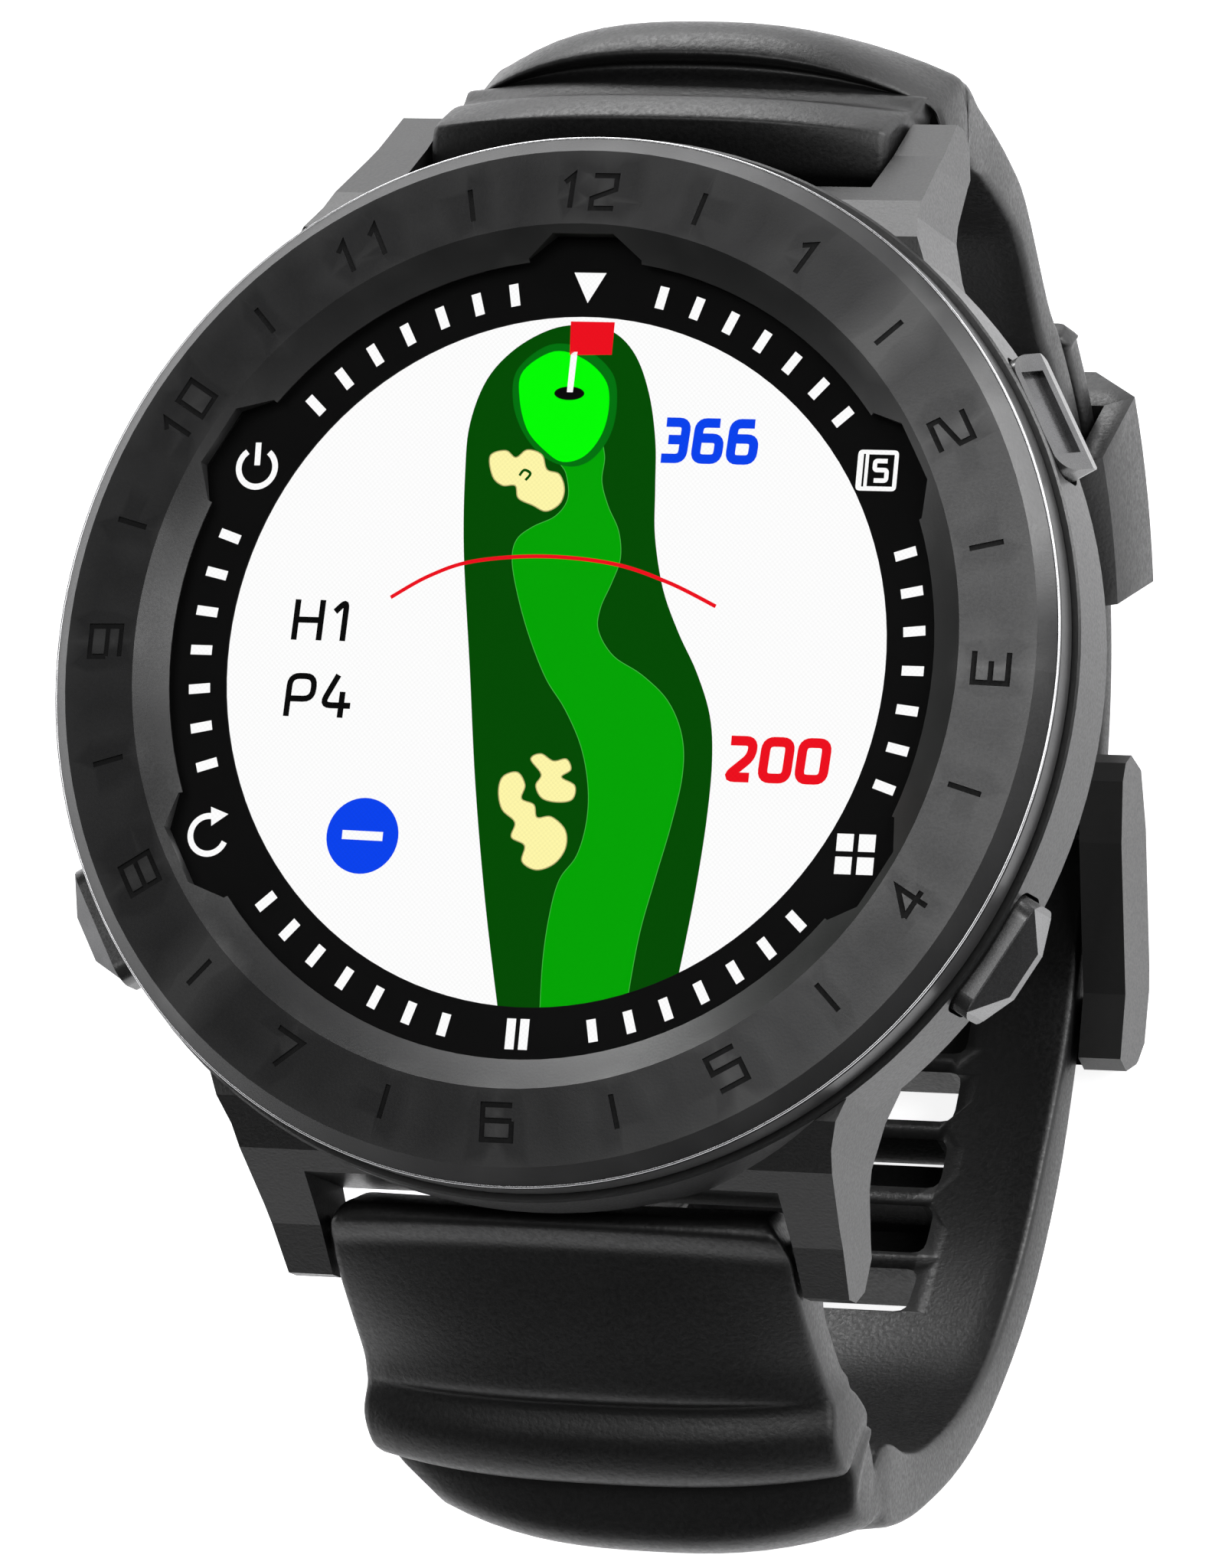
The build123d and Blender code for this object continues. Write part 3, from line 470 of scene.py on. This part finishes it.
sands = [
    [(-3.9, 9.0), (-3.2, 9.25), (-2.7, 8.95), (-2.2, 9.3), (-1.5, 9.1), (-1.2, 8.45), (-0.6, 8.25),
     (-0.3, 7.6), (-0.45, 6.95), (-1.05, 6.6), (-1.7, 6.85), (-2.4, 7.15), (-2.6, 7.7), (-3.2, 7.7),
     (-3.7, 8.1)],
    [(-0.65, -4.35), (-0.2, -4.1), (0.4, -4.4), (1.0, -4.3), (1.25, -4.75), (0.85, -5.1), (1.5, -5.45),
     (1.45, -6.05), (0.8, -6.2), (0.05, -6.05), (-0.3, -5.5), (-0.1, -5.0)],
    [(-1.85, -5.15), (-1.2, -4.95), (-0.8, -5.5), (-0.9, -6.1), (-0.3, -6.35), (-0.1, -6.9), (0.55, -6.85),
     (1.25, -7.4), (1.35, -8.2), (0.9, -8.9), (0.1, -9.2), (-0.6, -8.85), (-0.55, -8.15), (-1.2, -7.8),
     (-1.1, -7.15), (-1.75, -6.6), (-2.0, -5.8)],
]
for index, sand in enumerate(sands):
    edge = smoothPath(sand)
    ink("sand" + str(index), [edge], 4, "inkSand")
    ink("sand_edge" + str(index), strokeFaces(edge, 0.05, closed=True), 5, "inkSandEdge")
ink("sand_crease", strokeFaces(smoothPath([(-2.15, 7.95), (-1.95, 8.25), (-2.25, 8.4), (-2.45, 8.15)],
                                          closed=False), 0.12), 6, "inkRough")
cup = {"x": -0.5, "y": 11.85, "halfWidth": 0.7, "halfHeight": 0.3}
ink("cup", [arcPath(0, 0, 1, 0, 360)], 6, "inkBlack")
cupPiece = bpy.data.objects["display_cup"]
for vertex in cupPiece.data.vertices:
    # the round is pressed into a flat oval
    local = vertex.co - place(0, 0, 0)
    vertex.co = place(cup["x"] + local.x / mm * cup["halfWidth"],
                      cup["y"] + local.y / mm * cup["halfHeight"], panelTop + 6 * layer)
ink("pole", [[(-0.62, 11.9), (-0.34, 11.9), (-0.3, 13.7), (-0.6, 13.7)]], 7, "whiteScreenLightAndPaintedGlow")
ink("flag", [[(-0.65, 13.55), (1.3, 13.6), (1.3, 15.05), (-0.75, 15.05)]], 7, "inkRed")
ink("layup", strokeFaces(smoothPath([(-7.9, 2.6), (-6.2, 3.6), (-4.2, 4.3), (-1.0, 4.6), (2.3, 4.35),
                                     (4.9, 3.6), (7.2, 2.6)], closed=False, steps=10), 0.17), 7, "inkRed")

# figures on a box 1 wide and 1 high about its middle
glyphs = {
    "0": ([[(-0.5, -0.5), (-0.5, 0.5), (0.5, 0.5), (0.5, -0.5)]], True),
    "1": ([[(-0.3, 0.22), (0.08, 0.5), (0.08, -0.5)]], False),
    "2": ([[(-0.46, 0.5), (0.48, 0.5), (0.48, 0.08), (-0.44, -0.5), (0.5, -0.5)]], False),
    "3": ([[(-0.44, 0.5), (0.48, 0.5), (0.48, -0.5), (-0.46, -0.5)], [(-0.25, 0.02), (0.46, 0.02)]], False),
    "4": ([[(0.0, 0.55), (-0.5, -0.2), (0.55, -0.2)], [(0.22, 0.14), (0.22, -0.5)]], False),
    "6": ([[(0.42, 0.5), (-0.5, 0.5), (-0.5, -0.5), (0.5, -0.5), (0.5, 0.08), (-0.46, 0.08)]], False),
    "H": ([[(-0.45, -0.5), (-0.45, 0.5)], [(0.45, -0.5), (0.45, 0.5)],
           [(-0.45, 0.0), (0.45, 0.0)]], False),
    "P": ([[(-0.42, -0.5), (-0.42, 0.5), (0.46, 0.5), (0.46, -0.06), (-0.42, -0.06)]], False),
}


def figures(text, x, y, width, height, pitch, thick, lean=0.06):
    # x, y is the middle of the first figure
    shapes = []
    for index, letter in enumerate(text):
        paths, closed = glyphs[letter]
        for path in paths:
            points = []
            for px, py in path:
                points.append((x + index * pitch + px * width + py * height * lean, y + py * height))
            shapes += strokeFaces(roundedPath(points, width * 0.34, closed), thick, closed)
    return shapes


ink("distance", figures("366", 4.55, 9.87, 1.02, 1.6, 1.6, 0.42), 7, "inkBlue")
ink("carry", figures("200", 8.95, -4.05, 1.1, 1.6, 1.68, 0.43), 7, "inkRed")
ink("hole", figures("H1", -11.65, 1.5, 1.3, 1.8, 1.6, 0.27, 0.03), 7, "inkBlack")
ink("par", figures("P4", -11.7, -1.9, 1.3, 1.8, 1.7, 0.27, 0.03), 7, "inkBlack")
discX, discY = -8.12, -7.98
ink("disc", [arcPath(discX, discY, 1.68, 0, 360, 48)], 7, "inkBlue")
ink("disc_bar", [[(discX - 0.95, discY - 0.17), (discX + 0.95, discY - 0.2),
                  (discX + 0.95, discY + 0.2), (discX - 0.95, discY + 0.23)]], 8, "whiteScreenLightAndPaintedGlow")
print("display drawn")

# straps: pairs of points along the outer and inner faces at the strap's middle,
# with the half width there, how far the edges fall below the middle and the sway to one side
# the fall runs along the strap's thickness, not straight down; edgeRows are the rounding's rows, each
# how far in from the edge and how deep, as shares of edgeRound
strap = {"edgeRound": 0.4, "columns": 18, "steps": 4, "crown": 2.6, "innerFall": 0.7, "deepest": 0.4,
         "edgeRows": [(0, 1.0), (0.12, 0.5), (0.4, 0.16)]}
arcMid = Vector((2.85, 25.15))
arcRadius = {"shortOut": 22.2, "shortIn": 20.3, "longOut": 24.0, "longIn": 22.4}


def onArc(radius, angle):
    a = math.radians(angle)
    return (arcMid.x + radius * math.cos(a), arcMid.y + radius * math.sin(a))


def strapHalf(z):
    low, high, top, bottom = 10.8, 11.1, 31.0, 12.0
    return low + (high - low) * min(max((z - bottom) / (top - bottom), 0), 1)


shortStations = [
    # outer y z, inner y z, half width, fall of the edge, sway to the side
    ((23.15, 38.9), (22.5, 37.3), 10.3, 0.7, 0.0),
    ((23.35, 39.6), (22.75, 35.6), 10.6, 0.9, 0.0),
    ((24.2, 40.35), (23.8, 34.9), 10.75, 1.4, 0.0),
    ((25.0, 40.9), (24.8, 34.8), 10.75, 1.9, 0.0),
    ((25.4, 40.95), (25.3, 34.9), 10.75, 2.2, 0.0),
    ((26.4, 40.1), (26.2, 35.4), 10.75, 2.6, 0.1),
    ((26.55, 39.7), (26.6, 35.6), 10.75, 2.8, 0.1),
    ((26.65, 38.7), (26.9, 35.7), 10.8, 2.5, 0.2),
    ((27.5, 37.9), (27.7, 34.9), 10.9, 2.5, 0.2),
    ((28.5, 37.3), (26.9, 34.0), 10.9, 2.6, 0.3),
    ((28.65, 38.1), (26.5, 33.5), 11.0, 3.4, 0.4),
    ((29.0, 38.3), (26.3, 33.2), 11.0, 3.6, 0.4),
    ((30.1, 37.5), (26.3, 32.7), 11.0, 3.8, 0.5),
    ((30.8, 36.2), (27.4, 32.3), 11.1, 3.6, 0.5),
    ((31.0, 34.0), (28.2, 31.4), 11.1, 2.4, 0.5),
    ((30.6, 31.6), (27.0, 30.9), 11.1, 1.4, 0.5),
    ((29.6, 29.6), (26.3, 29.3), 11.1, 0.8, 0.4),
    ((28.7, 27.2), (26.0, 27.4), 11.1, 0.3, 0.3),
    ((27.6, 24.0), (25.2, 24.0), 11.1, 0.0, 0.2),
    ((26.5, 20.8), (24.3, 20.9), 11.0, 0.0, 0.1),
]
for angle in range(-25, -90, -6):
    outer, inner = onArc(arcRadius["shortOut"], angle), onArc(arcRadius["shortIn"], angle)
    shortStations.append((outer, inner, strapHalf(outer[1]), 0.0, 0.0))
shortStations += [
    ((1.9, 2.98), (1.9, 5.05), 10.8, 0.0, 0.0),
    ((0.9, 3.05), (1.2, 5.6), 10.8, 0.0, 0.0),
    ((0.15, 3.75), (0.5, 5.3), 10.8, 0.0, 0.0),
    ((0.05, 4.3), (0.15, 4.8), 10.8, 0.0, 0.0),
]

longStations = [
    ((-23.0, 38.9), (-22.5, 37.3), 9.6, 0.6, 0.0),
    ((-23.3, 39.8), (-22.6, 35.7), 9.9, 0.7, 0.0),
    ((-23.9, 40.0), (-23.6, 35.1), 10.4, 0.8, 0.0),
    ((-24.3, 39.55), (-24.4, 34.6), 10.6, 0.8, 0.0),
    ((-24.7, 38.9), (-25.2, 34.1), 10.75, 0.9, 0.0),
    ((-25.4, 38.4), (-26.2, 33.6), 10.75, 1.1, 0.0),
    ((-27.4, 37.1), (-27.4, 32.9), 10.75, 1.7, 0.1),
    ((-29.3, 35.7), (-28.6, 32.2), 10.8, 2.1, 0.2),
    ((-30.7, 34.6), (-29.2, 31.6), 10.9, 1.9, 0.3),
    ((-31.0, 33.7), (-29.5, 31.2), 11.0, 1.2, 0.4),
    ((-32.6, 33.5), (-29.9, 30.6), 11.1, 1.4, 0.4),
    ((-33.8, 32.5), (-30.4, 29.6), 11.1, 1.4, 0.5),
    ((-34.1, 31.5), (-30.7, 29.1), 11.0, 1.3, 0.6),
    ((-33.3, 30.9), (-30.9, 28.9), 11.0, 0.9, 0.6),
    ((-34.6, 30.3), (-31.3, 28.6), 10.7, 1.3, 1.0),
    ((-36.2, 29.4), (-32.0, 28.5), 10.1, 1.8, 1.5),
    ((-36.55, 28.2), (-32.8, 27.7), 10.0, 1.8, 1.6),
    ((-36.3, 26.7), (-33.2, 27.0), 10.0, 1.6, 1.6),
    ((-35.3, 25.7), (-32.0, 26.2), 10.2, 1.0, 1.4),
    ((-35.2, 24.6), (-31.3, 25.0), 10.4, 0.7, 1.2),
    ((-34.4, 22.4), (-31.1, 22.6), 10.7, 0.3, 0.8),
    ((-33.0, 19.2), (-30.3, 19.6), 10.9, 0.0, 0.5),
    ((-30.6, 14.2), (-28.3, 15.2), 10.9, 0.0, 0.3),
    ((-27.3, 9.6), (-25.4, 11.0), 10.8, 0.0, 0.1),
    ((-22.2, 5.5), (-20.2, 7.4), 10.8, 0.0, 0.0),
    ((-16.2, 3.0), (-14.7, 5.3), 10.8, 0.0, 0.0),
    ((-10.5, 1.9), (-10.0, 3.9), 10.8, 0.0, 0.0),
    ((-6.0, 1.6), (-6.0, 3.25), 10.8, 0.0, 0.0),
    ((-2.0, 1.3), (-2.0, 2.9), 10.8, 0.0, 0.0),
]
for angle in range(-90, -35, 6):
    outer, inner = onArc(arcRadius["longOut"], angle), onArc(arcRadius["longIn"], angle)
    longStations.append((outer, inner, strapHalf(outer[1]), 0.0, 0.0))
longStations += [
    (onArc(arcRadius["longOut"], -35.5), onArc(arcRadius["longIn"], -34.0), 10.9, 0.0, 0.0),
    (onArc(23.8, -33.6), onArc(22.5, -33.0), 10.5, 0.0, 0.0),
]


def strapPiece(name, stations):
    # outer and inner faces are lofted together, with rounded long edges
    outer = smoothPath([s[0] for s in stations], closed=False, steps=strap["steps"])
    inner = smoothPath([s[1] for s in stations], closed=False, steps=strap["steps"])
    rest = smoothPath([s[2:] for s in stations], closed=False, steps=strap["steps"])
    count = len(outer)
    edge = strap["edgeRound"]
    shares = [-1 + 2 * i / strap["columns"] for i in range(strap["columns"] + 1)]
    # share of the half width, how far in from the edge, and how deep the rounding is there
    columns = [(-1, inset, sink) for inset, sink in strap["edgeRows"]]
    columns += [(share, 1.0 if abs(share) == 1 else 0, 0.0) for share in shares]
    columns += [(1, inset, sink) for inset, sink in reversed(strap["edgeRows"])]
    points, faces = [], []
    for i in range(count):
        half, fall, sway = rest[i]
        across = outer[i] - inner[i]
        thick = across.length
        across.normalize()
        for share, inset, sink in columns:
            x = share * (half - edge * inset) if abs(share) == 1 else share * (half - edge)
            drop = fall * (abs(x) / half) ** strap["crown"]
            cut = min(edge * sink, thick * strap["deepest"])
            out = outer[i] - across * (cut + drop)
            back = inner[i] + across * (cut - drop * strap["innerFall"])
            points.append(place(x + sway, out.x, out.y))
            points.append(place(x + sway, back.x, back.y))
    width = len(columns)

    def spot(i, column, inside):
        return (i * width + column) * 2 + inside

    for i in range(count - 1):
        for column in range(width - 1):
            faces.append([spot(i, column, 0), spot(i, column + 1, 0),
                          spot(i + 1, column + 1, 0), spot(i + 1, column, 0)])
            faces.append([spot(i, column, 1), spot(i + 1, column, 1),
                          spot(i + 1, column + 1, 1), spot(i, column + 1, 1)])
        faces.append([spot(i, 0, 0), spot(i + 1, 0, 0), spot(i + 1, 0, 1), spot(i, 0, 1)])
        last = width - 1
        faces.append([spot(i, last, 0), spot(i, last, 1),
                      spot(i + 1, last, 1), spot(i + 1, last, 0)])
    for column in range(width - 1):
        faces.append([spot(0, column, 0), spot(0, column, 1),
                      spot(0, column + 1, 1), spot(0, column + 1, 0)])
        end = count - 1
        faces.append([spot(end, column, 0), spot(end, column + 1, 0),
                      spot(end, column + 1, 1), spot(end, column, 1)])
    piece = addPiece(name, points, faces, made["strapRubber"], smooth=True)
    facesOut(piece.data)
    return piece


def cutWith(piece, points, faces):
    mesh = bpy.data.meshes.new("cutter")
    mesh.from_pydata(points, [], faces)
    cutter = bpy.data.objects.new("cutter", mesh)
    bpy.context.scene.collection.objects.link(cutter)
    facesOut(mesh)
    saw = piece.modifiers.new("cut", "BOOLEAN")
    saw.operation = "DIFFERENCE"
    saw.object = cutter
    saw.solver = "EXACT"
    applied(piece)
    bpy.data.objects.remove(cutter)


slots = {"width": 12.0, "length": 2.5, "pitch": 3.45, "first": 4.95, "down": -4, "up": 6,
         "corner": 0.6, "cornerSteps": 3, "deep": 2.6}


def slotCutters(stations):
    # slots square to the band, counted along its inner face from the buckle
    inner = smoothPath([s[1] for s in stations], closed=False, steps=strap["steps"])
    lowest = Vector(onArc(arcRadius["longIn"], -90))
    bottom = min(range(len(inner)), key=lambda i: (inner[i] - lowest).length)
    points, faces = [], []
    for step in range(slots["down"], slots["up"] + 1):
        goal = slots["first"] + step * slots["pitch"]
        i, way, left = bottom, (-1 if goal > 0 else 1), abs(goal)
        while left > (inner[i + way] - inner[i]).length:
            left -= (inner[i + way] - inner[i]).length
            i += way
        along = (inner[i + way] - inner[i]).normalized()
        spot = inner[i] + along * left
        out = Vector((along.y, -along.x))
        w, l = slots["width"] / 2, slots["length"] / 2
        outline = roundedPath([(-w, -l), (w, -l), (w, l), (-w, l)], slots["corner"], closed=True,
                              steps=slots["cornerSteps"])
        start, count = len(points), len(outline)
        for level in (-slots["deep"], slots["deep"]):
            for x, run in outline:
                p = spot + along * run + out * level
                points.append(place(x, p.x, p.y))
        faces.append(list(range(start, start + count)))
        faces.append(list(range(start + count, start + 2 * count)))
        for k in range(count):
            n = (k + 1) % count
            faces.append([start + k, start + n, start + count + n, start + count + k])
    return points, faces


longStrap = strapPiece("strap_long_rubber", longStations)
cutWith(longStrap, *slotCutters(longStations))
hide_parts("strap_long")
shortStrap = strapPiece("strap_short_rubber", shortStations)
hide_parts("strap_short")
print("straps lofted")

# fine polished line round the bezel, below its outer chamfer
rimLine = {"radius": 23.12, "drop": 1.24, "wire": 0.075, "steps": 180, "round": 8}
linePoints, lineFaces = [], []
for i in range(rimLine["steps"]):
    a = 2 * math.pi * i / rimLine["steps"]
    for k in range(rimLine["round"]):
        b = 2 * math.pi * k / rimLine["round"]
        reach = rimLine["radius"] + rimLine["wire"] * math.cos(b)
        height = rimZ - rimLine["drop"] + rimLine["wire"] * math.sin(b)
        linePoints.append(place(reach * math.cos(a), reach * math.sin(a), height))
for i in range(rimLine["steps"]):
    for k in range(rimLine["round"]):
        n = (k + 1) % rimLine["round"]
        here, there = i * rimLine["round"], (i + 1) % rimLine["steps"] * rimLine["round"]
        lineFaces.append([here + k, there + k, there + n, here + n])
addPiece("bezel_rim_line", linePoints, lineFaces, made["polished"], smooth=True)
print("rim line made")

# keeper: a bevelled loop bent round the strap's back
keeper = {"from": -67.0, "to": -46.0, "slices": 7, "bevel": 0.35, "bevelSteps": 3, "sharp": 25}
keeperOut = [(-12.4, 19.9), (-11.4, 18.9), (11.4, 18.9), (12.4, 19.9), (12.4, 25.2), (9.9, 27.3),
             (-9.9, 27.3), (-12.4, 25.2)]
keeperIn = [(-11.15, 20.0), (-11.14, 20.0), (11.14, 20.0), (11.15, 20.0), (11.15, 24.35),
            (11.14, 24.35), (-11.14, 24.35), (-11.15, 24.35)]
corners = len(keeperOut)
keeperPoints, keeperFaces = [], []
for index in range(keeper["slices"] + 1):
    turn = keeper["from"] + (keeper["to"] - keeper["from"]) * index / keeper["slices"]
    for x, radius in keeperOut + keeperIn:
        y, z = onArc(radius, turn)
        keeperPoints.append(place(x, y, z))
for index in range(keeper["slices"]):
    for k in range(corners):
        n = (k + 1) % corners
        a, b = index * 2 * corners, (index + 1) * 2 * corners
        keeperFaces.append([a + k, a + n, b + n, b + k])
        keeperFaces.append([a + corners + k, b + corners + k, b + corners + n, a + corners + n])
end = keeper["slices"] * 2 * corners
for k in range(corners):
    n = (k + 1) % corners
    keeperFaces.append([k, corners + k, corners + n, n])
    keeperFaces.append([end + k, end + n, end + corners + n, end + corners + k])
keeperPiece = addPiece("keeper_rubber", keeperPoints, keeperFaces, made["strapRubber"],
                       body="keeper")
facesOut(keeperPiece.data)
soft = keeperPiece.modifiers.new("edges", "BEVEL")
soft.width = keeper["bevel"] * mm
soft.segments = keeper["bevelSteps"]
soft.limit_method = "ANGLE"
soft.angle_limit = math.radians(keeper["sharp"])
soft.harden_normals = True
applied(keeperPiece)
for polygon in keeperPiece.data.polygons:
    polygon.use_smooth = True
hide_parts("keeper_loop")
print("keeper made")

# floor, light and camera
studio = {"floorSize": 3.0, "worldLevel": 0.1}
floorHalf = studio["floorSize"] / 2
floorMesh = bpy.data.meshes.new("floor")
floorMesh.from_pydata([(-floorHalf, -floorHalf, 0), (floorHalf, -floorHalf, 0),
                       (floorHalf, floorHalf, 0), (-floorHalf, floorHalf, 0)], [], [(0, 1, 2, 3)])
floorMesh.materials.append(made["floor"])
floor = bpy.data.objects.new("floor", floorMesh)
bpy.context.scene.collection.objects.link(floor)

world = bpy.data.worlds.new("studio")
bpy.context.scene.world = world
world.use_nodes = True
world.node_tree.nodes["Background"].inputs["Color"].default_value = (1.0, 1.0, 1.0, 1.0)
world.node_tree.nodes["Background"].inputs["Strength"].default_value = studio["worldLevel"]

# softboxes in metres about the dial
softboxes = {
    "overhead": {"at": (-0.05, 0.16, 0.95), "size": (0.45, 0.45), "power": 2.7},
    "rearRight": {"at": (0.66, 0.60, 0.26), "size": (0.55, 0.3), "power": 7.0},
    "rear": {"at": (-0.34, 0.88, 0.10), "size": (0.7, 0.25), "power": 6.5},
    "highRight": {"at": (0.70, 0.10, 0.66), "size": (0.35, 0.5), "power": 3.0},
    "lowLeft": {"at": (-0.85, -0.20, 0.10), "size": (0.3, 0.2), "power": 0.6},
}
dialSpot = place(0, 0, rimZ)
for name, box in softboxes.items():
    lamp = bpy.data.lights.new(name, "AREA")
    lamp.shape = "RECTANGLE"
    lamp.size, lamp.size_y = box["size"]
    lamp.energy = box["power"]
    holder = bpy.data.objects.new(name, lamp)
    holder.location = dialSpot + Vector(box["at"])
    holder.rotation_euler = (dialSpot - holder.location).to_track_quat("-Z", "Y").to_euler()
    bpy.context.scene.collection.objects.link(holder)

camera = {"at": (187.2, -89.4, 478.0), "right": (0.9347, 0.0939, -0.342), "up": (-0.031, 0.982, 0.184),
          "lens": 277.0, "sensor": 36.0}
lensData = bpy.data.cameras.new("camera")
lensData.sensor_fit = "VERTICAL"
lensData.sensor_height = camera["sensor"]
lensData.lens = camera["lens"]
lensData.clip_start, lensData.clip_end = 0.01, 20
cameraObject = bpy.data.objects.new("camera", lensData)
bpy.context.scene.collection.objects.link(cameraObject)
right = Vector(camera["right"]).normalized()
up = (Vector(camera["up"]) - right * right.dot(Vector(camera["up"]))).normalized()
cameraObject.matrix_world = Matrix.Translation(dialSpot + Vector(camera["at"]) * mm) @ Matrix(
    (right, up, right.cross(up))).transposed().to_4x4()
bpy.context.scene.camera = cameraObject
bpy.context.scene.view_settings.view_transform = "Standard"
print("studio set")
